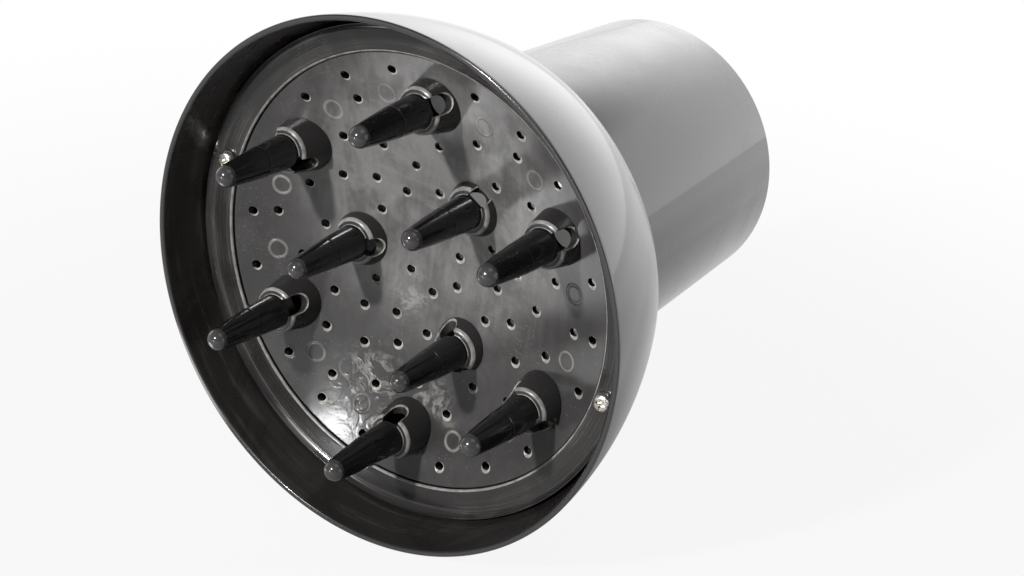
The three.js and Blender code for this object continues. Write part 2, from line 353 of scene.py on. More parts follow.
def dustSpecks(finish, scale):
    specks = finish.node("ShaderNodeTexVoronoi", {"feature": "F1"}, {
        "Vector": finish.place(), "Scale": scale, "Randomness": 1.0}, output="Distance")
    where = finish.noise(finish.place(), scuffing["dustPatches"], 2.0)
    return finish.between(specks, scuffing["speckCore"], scuffing["speckEdge"], 1.0, 0.0) * finish.between(
        where, 0.48, 0.6)


def glossyPlastic(name, colour, roughness, coat, waveDepth):
    # Moulded black plastic: slow waves in the gloss, hairline scuffs, finger smears and dust.
    finish = Finish(bpy.data.materials.new(name), {
        "Coat Weight": coat,
        "Coat Roughness": blackPlastic["coatRoughness"],
        "Coat IOR": blackPlastic["coatIor"],
    })
    place = finish.place()
    smear = finish.noise(finish.place((1, 1, 1), (0.3, 0.5, 0.2)), 28.0, 5.0, 0.62, 1.2)
    scuffs = hairlines(finish, (0.4, 0.9, 0.3), 1.0) + hairlines(finish, (1.1, -0.4, 0.8), 0.7)
    dust = dustSpecks(finish, blackPlastic["dust"])
    finish.drive("Base Color", finish.mixed(
        dust * blackPlastic["dustShare"], colour, blackPlastic["dustColour"]))
    smeared = finish.between(smear, 0.3, 0.75, roughness, roughness + blackPlastic["smearRoughness"])
    finish.drive("Roughness", smeared + scuffs * blackPlastic["scuffRoughness"]
                 + dust * blackPlastic["dustRoughness"])
    waves = finish.bump(finish.noise(place, 26.0, 1.0), waveDepth)
    finish.drive("Normal", finish.bump(scuffs, blackPlastic["scuffDepth"], 0.6, waves))
    return finish.owner


ringWear = {
    "colour": (0.017, 0.0157, 0.0155, 1),
    "rubbedColour": (0.075, 0.07, 0.066, 1),
    "roughness": 0.17,
    "coat": 0.4,
    "streaks": 1500.0,  # in a metre
}

insideWear = {
    "colour": (0.014, 0.0125, 0.012, 1),
    "rubbedColour": (0.07, 0.061, 0.053, 1),
    "roughness": 0.24,
    "coat": 0.3,
    "streaks": 420.0,
}

rubbing = {
    "coatRoughness": 0.1,
    "streakShare": 0.65,
    "patchShare": 0.15,
    "dust": 700.0,
    "dustShare": 0.4,
    "dustRoughness": 0.3,
    "streakDepth": 0.000008,
    "waveDepth": 0.00006,
}

hazedPlate = {
    # The dish mixes these two colours by its cloudy haze and by a painted reflection that lightens its
    # middle and top.
    "colour": (0.17, 0.165, 0.163, 1),
    "darkColour": (0.024, 0.0225, 0.0225, 1),
    "roughness": 0.19,
    "polishedRoughness": 0.11,
    "markDustAndHighlightColour": (0.34, 0.325, 0.305, 1),
    "dust": 700.0,
    "dustShare": 0.4,
    "dustRoughness": 0.2,
    "reflectionHeight": 0.022,  # height above the middle of the lighter patch, a painted reflection, where the haze is whole
    "reflectionFrom": 0.03,  # distances from there between which it fades
    "reflectionTo": 0.06,
    "hazeBeyondReflection": 0.14,  # what is left of it outside the painted reflection
    "polishedPlace": (-0.026, -0.048, 0.05),  # x, z and reach
    "flowPlaces": [  # the same for each patch of flow ripples and their painted highlights
        (-0.0135, -0.045, 0.019), (-0.0065, -0.012, 0.009), (0.006, -0.04, 0.009)],
    "markCircle": 0.0525,  # circle of the ejector marks
    "markAngle": 11.5,  # degrees beside each sector's line
    "markRadius": 0.0027,
    "markLine": 0.0007,
    "waveDepth": 0.0002,
    "rippleDepth": 0.00003,
    "grainDepth": 0.00002,
    "markDepth": 0.00012,
}


def nearSpot(finish, across, up, spotX, spotZ, reach):
    besideX = across - spotX
    besideZ = up - spotZ
    return finish.between((besideX * besideX + besideZ * besideZ) ** 0.5, reach * 0.35, reach, 1.0, 0.0)


def ejectorMarks(finish, across, up):
    # The same ring repeated on both sides of six sector lines.
    angle = finish.maths("ARCTAN2", up, across)
    radius = (across * across + up * up) ** 0.5
    sector = math.radians(60)
    fold = abs(angle % sector - sector / 2)
    markFold = math.radians(30 - hazedPlate["markAngle"])
    besideX = radius * finish.maths("COSINE", fold) - hazedPlate["markCircle"] * math.cos(markFold)
    besideY = radius * finish.maths("SINE", fold) - hazedPlate["markCircle"] * math.sin(markFold)
    fromMark = (besideX * besideX + besideY * besideY) ** 0.5
    return finish.between(abs(fromMark - hazedPlate["markRadius"]), 0.0, hazedPlate["markLine"], 1.0, 0.0)


def platePlastic():
    # The dish: hazy gloss, polished in one spot and lighter in its middle and top as a painted reflection,
    # with flow ripples, ejector marks, scuffs and dust.
    finish = Finish(bpy.data.materials.new("plateGloss"))
    place = finish.place()
    across = finish.axis(place, "X")
    up = finish.axis(place, "Z")
    marks = ejectorMarks(finish, across, up)
    cloud = finish.noise(finish.place((1, 1, 1), (0, 0.6, 0)), 30.0, 5.0, 0.6, 1.6)
    fine = finish.noise(place, 160.0, 4.0, 0.6, 0.8)
    dust = dustSpecks(finish, hazedPlate["dust"])
    scuffs = hairlines(finish, (0.2, 0.7, 0.1), 1.0) + hairlines(finish, (0.1, -0.5, 0.2), 0.6)
    brushed = finish.noise(finish.place((1, 1, 0.07), (0, 0.12, 0)), 420.0, 3.0, 0.6, 0.2)
    # The dish's middle and top are painted lighter and its sides darker: a painted reflection of a bright
    # patch in front.
    above = hazedPlate["reflectionHeight"]
    fromMiddle = (across * across + (up - above) * (up - above)) ** 0.5
    paintedReflection = finish.between(fromMiddle + (cloud - 0.5) * 0.03, hazedPlate["reflectionFrom"],
                             hazedPlate["reflectionTo"], 1.0, hazedPlate["hazeBeyondReflection"])
    hazeAndReflection = finish.between(
        cloud + (fine - 0.5) * 0.4 + (brushed - 0.5) * 0.3, 0.3, 0.66, 0.42, 1.0) * paintedReflection
    plastic = finish.mixed(hazeAndReflection, hazedPlate["darkColour"], hazedPlate["colour"])
    flow = finish.noise(finish.place((1, 1, 1), (0, 0.9, 0)), 95.0, 3.0, 0.6, 1.6)
    ridges = finish.between(abs(flow - 0.5), 0.0, 0.1, 1.0, 0.0)
    flowPatch = 0.0
    for spotX, spotZ, reach in hazedPlate["flowPlaces"]:
        flowPatch = nearSpot(finish, across, up, spotX, spotZ, reach) + flowPatch
    # Lighter colour along the flow ripples stands in for the lamp's reflection on them: painted
    # highlights.
    rippleHighlights = ridges * flowPatch * finish.between(fine, 0.35, 0.6)
    markBreaks = finish.between(fine, 0.3, 0.6, 0.4, 1.0) * finish.between(cloud, 0.36, 0.6, 0.35, 1.0)
    # Dust, ejector marks, scuffs and the ripples' painted highlights share one pale colour.
    finish.drive("Base Color", finish.mixed(
        dust * hazedPlate["dustShare"] + marks * markBreaks * 0.75 + scuffs * 0.15 + rippleHighlights * 0.5,
        plastic, hazedPlate["markDustAndHighlightColour"]))
    polished = nearSpot(finish, across, up, *hazedPlate["polishedPlace"])
    polishing = hazedPlate["roughness"] - hazedPlate["polishedRoughness"]
    finish.drive("Roughness", hazedPlate["roughness"] - polishing * polished + (0.5 - hazeAndReflection) * 0.08
                 + dust * hazedPlate["dustRoughness"])
    waves = finish.bump(finish.noise(place, 45.0, 1.0, 0.4, 0.6), hazedPlate["waveDepth"])
    ripples = finish.bump(ridges * flowPatch, hazedPlate["rippleDepth"], 1.0, waves)
    grain = finish.bump(fine, hazedPlate["grainDepth"], 1.0, ripples)
    finish.drive("Normal", finish.bump(marks + scuffs * 0.05, hazedPlate["markDepth"], 1.0, grain))
    return finish.owner


grimy = {
    "scale": 420.0,
    "roughness": 0.2,  # added where it is dirtiest
    "depth": 0.00002,
}


def paleHighlightPlastic(name, highlightColour, dirty, roughness):
    # Edges painted pale as a painted highlight where light catches them, dirtier in patches.
    finish = Finish(bpy.data.materials.new(name))
    grime = finish.noise(finish.place(), grimy["scale"], 3.0, 0.6)
    finish.drive("Base Color", finish.mixed(finish.between(grime, 0.35, 0.7), highlightColour, dirty))
    finish.drive("Roughness", finish.between(grime, 0.3, 0.7, roughness, roughness + grimy["roughness"]))
    finish.drive("Normal", finish.bump(grime, grimy["depth"]))
    return finish.owner


def rubbedPlastic(name, wear):
    # Black plastic rubbed by cleaning: streaks that run round it, cloudy patches and dust.
    finish = Finish(bpy.data.materials.new(name), {
        "Coat Weight": wear["coat"],
        "Coat Roughness": rubbing["coatRoughness"],
    })
    place = finish.place()
    across = finish.axis(place, "X")
    up = finish.axis(place, "Z")
    radius = (across * across + up * up) ** 0.5
    angle = finish.maths("ARCTAN2", up, across)
    along = finish.node("ShaderNodeCombineXYZ", None, {
        0: (radius + finish.axis(place, "Y")) * wear["streaks"], 1: angle * 1.6})
    streaks = finish.between(finish.noise(along, 1.0, 4.0, 0.65, 0.4), 0.5, 0.7)
    patches = finish.between(finish.noise(place, 30.0, 4.0, 0.6, 0.8), 0.42, 0.62)
    dust = dustSpecks(finish, rubbing["dust"])
    rubbed = streaks * (patches * 0.75 + 0.25)
    finish.drive("Base Color", finish.mixed(
        rubbed * rubbing["streakShare"] + patches * rubbing["patchShare"] + dust * rubbing["dustShare"],
        wear["colour"], wear["rubbedColour"]))
    finish.drive("Roughness", wear["roughness"] + patches * 0.08 + rubbed * 0.1
                 + dust * rubbing["dustRoughness"])
    waves = finish.bump(finish.noise(place, 30.0, 1.0), rubbing["waveDepth"])
    finish.drive("Normal", finish.bump(streaks, rubbing["streakDepth"], 1.0, waves))
    return finish.owner


chrome = {
    "colour": (0.9, 0.88, 0.83, 1),
    "tarnishColour": (0.5, 0.45, 0.37, 1),
    "roughness": 0.2,
    "tarnishRoughness": 0.36,
    "tarnish": 900.0,
    "grain": 1500.0,
    "grainDepth": 0.00002,
}


def screwChrome():
    finish = Finish(bpy.data.materials.new("screwChrome"), {"Metallic": 1.0})
    place = finish.place()
    tarnish = finish.noise(place, chrome["tarnish"], 4.0, 0.6)
    finish.drive("Base Color", finish.mixed(
        finish.between(tarnish, 0.45, 0.7), chrome["colour"], chrome["tarnishColour"]))
    finish.drive("Roughness", finish.between(
        tarnish, 0.3, 0.7, chrome["roughness"], chrome["tarnishRoughness"]))
    finish.drive("Normal", finish.bump(finish.noise(place, chrome["grain"], 2.0), chrome["grainDepth"]))
    return finish.owner


bellFinish = glossyPlastic(
    "bellGloss", colour=(0.024, 0.023, 0.024, 1), roughness=0.12, coat=1.0, waveDepth=0.00012)
collarFinish = glossyPlastic(
    "collarGloss", colour=(0.03, 0.029, 0.03, 1), roughness=0.2, coat=1.0, waveDepth=0.0001)
ringFinish = rubbedPlastic("ringGloss", ringWear)
insideFinish = rubbedPlastic("bellInside", insideWear)
fingerFinish = glossyPlastic(
    "fingerGloss", colour=(0.009, 0.0085, 0.009, 1), roughness=0.1, coat=0.0, waveDepth=0.00003)
plateFinish = platePlastic()
edgeHighlightFinish = paleHighlightPlastic(
    "paintedEdgeHighlight", highlightColour=(0.42, 0.4, 0.365, 1), dirty=(0.15, 0.135, 0.12, 1), roughness=0.2)
stepHighlightFinish = paleHighlightPlastic(
    "paintedStepHighlight", highlightColour=(0.3, 0.29, 0.28, 1), dirty=(0.14, 0.134, 0.128, 1), roughness=0.16)
# The tips are lighter than the shanks: a painted sheen of reflections.
tipSheenFinish = glossyPlastic(
    "tipPaintedSheen", colour=(0.042, 0.04, 0.04, 1), roughness=0.11, coat=0.5, waveDepth=0.00002)
bossFinish = glossyPlastic(
    "bossGloss", colour=(0.024, 0.0225, 0.022, 1), roughness=0.24, coat=0.0, waveDepth=0.00003)
chromeFinish = screwChrome()
print("finishes ready")


# bell

bell = {
    "rimRadius": 80.0,
    "shoulderInset": 12.8,  # how much narrower the shoulder is than the rim
    "shoulderDepth": 42.0,
    "flankBulge": 2.0,  # how far the flank stands out from a straight cone, halfway down
    "wall": 1.8,
    "lipRound": 0.5,
    "lipDepth": 1.5,  # where the rim ends and the flank's own outline starts
    "flankSteps": 28,
    "insideSteps": 14,
    "insideLowSteps": 8,
    "shoulderRound": 3.0,
    "shoulderSteps": 10,
    "insideShoulderSteps": 6,
    "openingRound": 0.4,
    "backLean": 12.0,  # degrees that the back wall leans towards the collar
    "seatWidth": 4.0,
    "seatThickness": 1.5,
    "seatRound": 0.3,
    "envelopeTurns": 96,
    "turns": 256,
}

collar = {
    "endRadius": 43.6,
    "endDepth": 152.0,
    "taper": 2.9,  # degrees a side
    "wall": 2.0,
    "flangeReach": 5.0,
    "flangeThickness": 2.0,
    "flangeRound": 0.3,
    "edgeRound": 0.45,
    "turns": 192,
}

ring = {
    "topDepth": 16.2,
    "thickness": 2.0,
    "width": 8.6,
    "innerBevel": 0.45,
    "outerFillet": 2.8,  # hollow curve from the ring's face up to the bell's wall
    "filletTurn": 65.0,
    "filletSteps": 8,
    "filletRound": 0.08,
    "bevelRound": 0.25,
    "backRound": 0.2,
    "highlightSlopes": (0.3, 0.97),  # how far upwards the bevel's faces with a pale painted highlight look, from 0 to 1
    "highlightWidth": 1,
    "turns": 256,
}

dish = {
    "rimDrop": 1.1,  # from the ring's face to the edge of the dish
    "sagitta": 11.6,
    "thickness": 2.0,
    "faceSteps": 40,
    "backSteps": 14,
    "edgeFlat": 0.3,
    "edgeRound": 0.2,
    "flangeRound": 0.3,
    "turns": 240,
}

screw = {
    "shankRadius": 1.45,
    "length": 9.5,
    "headRadius": 3.0,
    "headHeight": 2.0,
    "headRim": 0.6,
    "headRound": 0.15,
    "headSteps": 8,
    "recessWidth": 0.8,
    "recessLength": 3.2,
    "recessDepth": 1.1,
    "postRadius": 3.3,
    "postSpare": 1.5,
    "postFloor": 1.2,
    "postBelowSeat": 0.05,
    "postTurns": 40,
    "holeTurns": 32,
    "turns": 48,
}


def flankRadius(depth):
    share = depth / bell["shoulderDepth"]
    bulge = 4 * bell["flankBulge"] * share * (1 - share)
    return bell["rimRadius"] - bell["shoulderInset"] * share + bulge


def insideRadius(depth):
    return flankRadius(depth) - bell["wall"]


def collarRadius(depth):
    return collar["endRadius"] + (collar["endDepth"] - depth) * math.tan(math.radians(collar["taper"]))


flankEndAngle = math.atan((bell["shoulderInset"] + 4 * bell["flankBulge"]) / bell["shoulderDepth"])
backAngle = math.radians(90 - bell["backLean"])
shoulderCentreRadius = flankRadius(bell["shoulderDepth"]) - bell["shoulderRound"] * math.cos(flankEndAngle)
shoulderCentreDepth = bell["shoulderDepth"] - bell["shoulderRound"] * math.sin(flankEndAngle)


def shoulderPoint(angle, reach):
    return (shoulderCentreRadius + reach * math.cos(angle),
            -shoulderCentreDepth - reach * math.sin(angle))


def backHeight(radius, inset):
    # Height of the back wall's outer face at a radius, or of a face an inset within it.
    startRadius, startHeight = shoulderPoint(backAngle, bell["shoulderRound"] - inset)
    return startHeight - (startRadius - radius) / math.tan(backAngle)


rootRadius = collarRadius(bell["shoulderDepth"])
openingRadius = rootRadius + fitGap
ringBottomDepth = ring["topDepth"] + ring["thickness"]
flangeDepth = ringBottomDepth + fitGap
flangeBottomDepth = flangeDepth + dish["thickness"]
seatDepth = flangeBottomDepth + fitGap
ringRadius = insideRadius(ringBottomDepth) - fitGap
ringInnerRadius = ringRadius - ring["width"]
dishEdgeRadius = ringInnerRadius - fitGap
dishSphere = (dishEdgeRadius ** 2 + dish["sagitta"] ** 2) / (2 * dish["sagitta"])
screwSeat = fitGap - ring["topDepth"]
screwTip = screwSeat - screw["length"]
screwPlaces = [screwPlace("plate_screw_1"), screwPlace("plate_screw_2")]


def rod(radius, low, high, turns):
    return spunShape([(0, low), (radius, low), (radius, high), (0, high)], turns)


def screwHoles(low, high, radius):
    hole = rod(radius, low, high, screw["holeTurns"])
    holes = gathered([movedCopy(hole, standAt(*place)) for place in screwPlaces])
    hole.free()
    return holes


bellInside, ringHighlight = 1, 1  # which of the piece's finishes


def makeBell():
    rounding = bell["lipRound"]
    wall = bell["wall"]
    shoulder = bell["shoulderRound"]
    lipDepth = bell["lipDepth"]
    outside = [(openingRadius, backHeight(openingRadius, 0), bell["openingRound"])]
    outside += [shoulderPoint(angle, shoulder)
                for angle in steps(backAngle, flankEndAngle, bell["shoulderSteps"])]
    outside += [(flankRadius(depth), -depth)
                for depth in steps(bell["shoulderDepth"], lipDepth, bell["flankSteps"])[1:]]
    lip = [(flankRadius(0), 0, rounding), (insideRadius(0), 0, rounding)]
    seatRadius = insideRadius(seatDepth) - bell["seatWidth"]
    seatFoot = seatDepth + bell["seatThickness"] + bell["seatWidth"] / 2
    inside = [(insideRadius(depth), -depth) for depth in steps(lipDepth, seatDepth, bell["insideSteps"])]
    inside += [(seatRadius, -seatDepth, bell["seatRound"]),
               (seatRadius, -seatDepth - bell["seatThickness"], bell["seatRound"])]
    inside += [(insideRadius(depth), -depth)
               for depth in steps(seatFoot, shoulderCentreDepth, bell["insideLowSteps"])]
    inside += [shoulderPoint(angle, shoulder - wall)
               for angle in steps(flankEndAngle, backAngle, bell["insideShoulderSteps"])[1:]]
    inside += [(openingRadius, backHeight(openingRadius, wall), bell["openingRound"])]
    shell = spunShape(outside + lip + inside, bell["turns"])
    holeEnd = screwTip - screw["postSpare"]
    post = rod(screw["postRadius"], holeEnd - screw["postFloor"], -seatDepth - screw["postBelowSeat"],
               screw["postTurns"])
    envelope = spunShape([(0, outside[0][1])] + [corner[:2] for corner in outside[1:]] + [(0, -lipDepth)],
                         bell["envelopeTurns"])
    posts = gathered([movedCopy(post, standAt(*place)) for place in screwPlaces])
    post.free()
    shell = combined(shell, combined(posts, envelope, "INTERSECT"), "UNION")
    shell = combined(shell, screwHoles(holeEnd, 0, screw["shankRadius"] + fitGap), "DIFFERENCE")
    shell.normal_update()
    for face in shell.faces:
        centre = face.calc_center_median()
        if face.normal.x * centre.x + face.normal.y * centre.y < 0:
            face.material_index = bellInside
    return finishedPiece("bellShell", shell, [bellFinish, insideFinish], "bell_shell")


def makeCollar():
    rounding = collar["edgeRound"]
    flange = openingRadius + collar["flangeReach"]
    thickness = collar["flangeThickness"]

    def lap(radius):
        return backHeight(radius, bell["wall"]) + fitGap

    tube = spunShape([
        (collar["endRadius"] - collar["wall"], -collar["endDepth"], rounding),
        (collar["endRadius"], -collar["endDepth"], rounding),
        (rootRadius, backHeight(rootRadius, 0)),
        (rootRadius, lap(rootRadius)),
        (flange, lap(flange), collar["flangeRound"]),
        (flange, lap(flange) + thickness, rounding),
        (rootRadius - collar["wall"], lap(rootRadius) + thickness, rounding),
    ], collar["turns"])
    return finishedPiece("collarTube", tube, [collarFinish], "collar_tube")


def makeRing():
    top = -ring["topDepth"]
    fillet = ring["outerFillet"]
    hollow = [(ringRadius - fillet * (1 - math.sin(turn)), top + fillet * (1 - math.cos(turn)))
              for turn in steps(0, math.radians(ring["filletTurn"]), ring["filletSteps"])]
    band = spunShape([
        (ringInnerRadius, -ringBottomDepth, ring["backRound"]),
        (ringRadius, -ringBottomDepth, ring["backRound"]),
        (ringRadius, hollow[-1][1], ring["filletRound"]),
    ] + hollow[::-1] + [
        (ringInnerRadius + ring["innerBevel"], top, ring["bevelRound"]),
        (ringInnerRadius, top - ring["innerBevel"], ring["bevelRound"]),
    ], ring["turns"])
    holes = screwHoles(-ringBottomDepth - overcut, 0, screw["shankRadius"] + fitGap)
    band = combined(band, holes, "DIFFERENCE")
    band.normal_update()
    low, high = ring["highlightSlopes"]
    highlightRadius = ringInnerRadius + ring["highlightWidth"]
    # The upward-looking faces of the inner bevel take a pale painted highlight.
    for face in band.faces:
        if low < face.normal.z < high and math.hypot(*face.calc_center_median().xy) < highlightRadius:
            face.material_index = ringHighlight
    return finishedPiece("clampRing", band, [ringFinish, stepHighlightFinish], "clamp_ring")


# dish and vents

vents = {
    "radius": 1.3,
    "margin": 5.4,  # from the outermost circle to the dish's edge
    "circles": 8,
    "centreCircle": 9.4,
    "spread": 15.0,  # degrees between neighbours on a sector's inner circles
    "outerSpread": 16.4,
    "turns": [-1.2, -2.4, 0.6, -2, -2.8, 0.7],  # degrees that each sector's vents lean
    "edgeRound": 0.42,  # rounding of each vent's front edge, which sits a little to one side and low and takes a pale painted highlight
    "edgeAside": 0.4,
    "edgeBelow": 0.26,
    "edgeAbove": 0.5,  # how far the shape that cuts it stands out of the dish's face
    "sides": 20,
}

finger = {
    "outerBossHeight": 9.0,
    "innerBossHeight": 4.1,
    "bossTopRadius": 6.9,
    "bossBaseRadius": 8.5,
    "bossRound": 1.0,
    "bossCeiling": 1.2,
    "bossAbove": 0.05,  # the boss's finish ends this far above its step
    "highlightSlopes": (0.25, 0.93),  # how far upwards the step's faces with a pale painted highlight look, from 0 to 1
    "spigotRadius": 6.6,
    "spigotReach": 1.2,  # past the back of the dish
    "socketTurns": 64,
    "hollowRadius": 5.4,
    "hollowRound": 0.2,
    "shankFootRadius": 5.2,
    "shankFootRound": 0.35,
    "shankLength": 25.8,  # from the step to the middle of the round tip
    "shankStart": 0.04,  # share of the shank at which its side's outline starts
    "lowSteps": 6,  # below the parting line, and above it
    "highSteps": 8,
    "tipRadius": 3.3,
    "tipSteps": 12,
    "tipBelow": 0.2,  # the tip's lighter finish, a painted sheen, starts this far below its middle
    "shankBulge": 0.25,
    "partingShare": 0.46,  # how far up the shank its fine parting line runs
    "partingLine": 0.06,
    "partingFoot": 0.01,  # how far the line's two feet stand out from the shank
    "partingRoom": 0.03,  # share of the shank on each side of the line
    "boreRadius": 3.7,
    "boreRound": 0.3,
    "boreAboveStep": 9.0,
    "outletWidth": 5.4,
    "outerOutletDepth": 6.3,
    "innerOutletDepth": 4.0,
    "outletInnerReach": 4.2,
    "outletFlat": 0.02,  # half of the flat that is left in the middle of its round bottom
    "outletSteps": 12,
    "outletEdge": 0.42,  # width and depth of the pale painted highlight rebate round each outlet
    "turnedAngle": 90,  # the outer finger here sits turned in its socket
    "turn": -60,
    "seatCutDepth": 14,  # depth and radius of the shape that cuts the boss away behind its seat
    "seatCutRadius": 20,
    "turns": 72,
}

outerFingerNodes = ["outer_finger_%d" % number for number in range(1, 7)]
innerFingerNodes = ["inner_finger_%d" % number for number in range(1, 4)]


def dishHeight(radius):
    rise = dishSphere - math.sqrt(dishSphere ** 2 - radius ** 2)
    return rise - ring["topDepth"] - dish["rimDrop"] - dish["sagitta"]


def ventPlaces():
    pitch = (dishEdgeRadius - vents["margin"]) / vents["circles"]
    spread = vents["spread"]
    outerSpread = vents["outerSpread"]
    innerFingerAngles = [round(fingerPlace(node)[1]) % 360 for node in innerFingerNodes]
    places = []
    for sector, turn in zip(range(0, 360, 60), vents["turns"]):
        lean = sector + turn
        between = sector + 30
        places += [(vents["centreCircle"], between), (3 * pitch, between), (5 * pitch, between)]
        places += [(5 * pitch, lean), (6 * pitch, lean - spread), (6 * pitch, lean + spread)]
        places += [(7 * pitch, lean)]
        places += [(8 * pitch, sector + aside) for aside in (-outerSpread, 0, outerSpread)]
        if sector not in innerFingerAngles:
            places += [(3 * pitch, sector), (4 * pitch, lean - spread), (4 * pitch, lean + spread)]
    return places


def ontoDish(circle, angle):
    # Onto the dish's face, tilted to stand square to it.
    tilt = Matrix.Rotation(-math.asin(circle / dishSphere), 4, "Y")
    return standAt(circle, angle) @ Matrix.Translation((0, 0, dishHeight(circle))) @ tilt


plateEdgeHighlight, ventWall = 1, 2  # which of the dish's finishes


def makePlate():
    thickness = dish["thickness"]
    plateRadius = insideRadius(flangeBottomDepth) - fitGap
    back = [(radius, dishHeight(radius) - thickness)
            for radius in steps(0, dishEdgeRadius - thickness, dish["backSteps"])]
    face = [(radius, dishHeight(radius))
            for radius in steps(dishEdgeRadius - dish["edgeFlat"], 0, dish["faceSteps"])]
    blank = spunShape(back + [
        (dishEdgeRadius - thickness, -flangeBottomDepth),
        (plateRadius, -flangeBottomDepth, dish["flangeRound"]),
        (plateRadius, -flangeDepth, dish["flangeRound"]),
        (dishEdgeRadius, -flangeDepth),
        (dishEdgeRadius, dishHeight(dishEdgeRadius), dish["edgeRound"]),
    ] + face, dish["turns"])
    rounding = vents["edgeRound"]
    edge = [(vents["radius"] + rounding - rounding * math.cos(turn), rounding * math.sin(turn) - rounding)
            for turn in steps(0, math.pi / 2, roundSteps)]
    above = vents["edgeAbove"]
    softEdge = spunShape([(0, -rounding)] + edge + [(edge[-1][0], above), (0, above)], vents["sides"])
    # Each vent's rounded lip takes a pale painted highlight, set off to one side and low where the lamp
    # catches it.
    painted(softEdge, plateEdgeHighlight)
    aside = Matrix.Translation((vents["edgeAside"], -vents["edgeBelow"], 0))
    lips = gathered([movedCopy(softEdge, aside @ ontoDish(*place)) for place in ventPlaces()])
    low = dishHeight(0) - 2 * thickness
    vent = painted(rod(vents["radius"], low, 0, vents["sides"]), ventWall)
    socket = rod(finger["spigotRadius"] + fitGap, low, 0, finger["socketTurns"])
    fingerPlaces = [fingerPlace(node) for node in outerFingerNodes + innerFingerNodes]
    holes = gathered([movedCopy(vent, standAt(*place)) for place in ventPlaces()]
                     + [movedCopy(socket, standAt(*place)) for place in fingerPlaces]
                     + [screwHoles(low - 5 * overcut, 0, screw["shankRadius"] + fitGap)])
    for shape in (softEdge, vent, socket):
        shape.free()
    plate = combined(combined(blank, lips, "DIFFERENCE"), holes, "DIFFERENCE")
    finishes = [plateFinish, edgeHighlightFinish, fingerFinish]
    return finishedPiece("fingerPlate", plate, finishes, "finger_plate")


# fingers

fingerEdgeHighlight, fingerStepHighlight, fingerTipSheen, fingerBoss = 1, 2, 3, 4  # which of a finger's finishes


def outletCutter(stepHeight, depth, margin):
    # Two opposite slots with round bottoms, cut from the step's edge down through the boss.
    halfWidth = finger["outletWidth"] / 2 + margin
    slot = bmesh.new()
    near = finger["outletInnerReach"]
    top = stepHeight + finger["bossCeiling"]
    low = stepHeight - depth - margin
    corners = [slot.verts.new((near, across, height)) for across, height in (
        (-halfWidth, top), (-halfWidth, low), (halfWidth, low), (halfWidth, top))]
    slot.faces.new(corners)
    bmesh.ops.bevel(slot, geom=corners[1:3], offset=halfWidth - finger["outletFlat"],
                    segments=finger["outletSteps"], profile=0.5, affect="VERTICES", material=-1)
    grown = bmesh.ops.extrude_face_region(slot, geom=slot.faces[:])
    moved = [item for item in grown["geom"] if isinstance(item, bmesh.types.BMVert)]
    bmesh.ops.translate(slot, vec=(2 * finger["bossBaseRadius"], 0, 0), verts=moved)
    bmesh.ops.recalc_face_normals(slot, faces=slot.faces)
    opposite = movedCopy(slot, Matrix.Rotation(math.pi, 4, "Z"))
    return gathered([slot, opposite])


def outletRebate(slots, flare, step, bottom):
    # The part of wider slots that lies just under the boss's surface, which takes a pale painted
    # highlight.
    low = bottom - overcut
    high = step + 2 * overcut
    outside = 2 * finger["bossBaseRadius"]

    def underSurface(height):
        return finger["bossTopRadius"] + flare * (step - height) - finger["outletEdge"]

    around = spunShape([(underSurface(low), low), (outside, low),
                        (outside, high), (underSurface(high), high)], finger["turns"])
    return painted(combined(slots, around, "INTERSECT"), fingerEdgeHighlight)


def paintFinger(shape, step):
    # The step's rounded edges take a pale painted highlight, the tip a lighter painted sheen, and the boss
    # is duller than the shank.
    low, high = finger["highlightSlopes"]
    shape.normal_update()
    for face in shape.faces:
        height = face.calc_center_median().z
        uncut = face.material_index == 0
        if height > step + finger["shankLength"] - finger["tipBelow"]:
            face.material_index = fingerTipSheen
        elif uncut and abs(height - step) < finger["bossRound"] and low < face.normal.z < high:
            face.material_index = fingerStepHighlight
        elif uncut and height < step + finger["bossAbove"]:
            face.material_index = fingerBoss


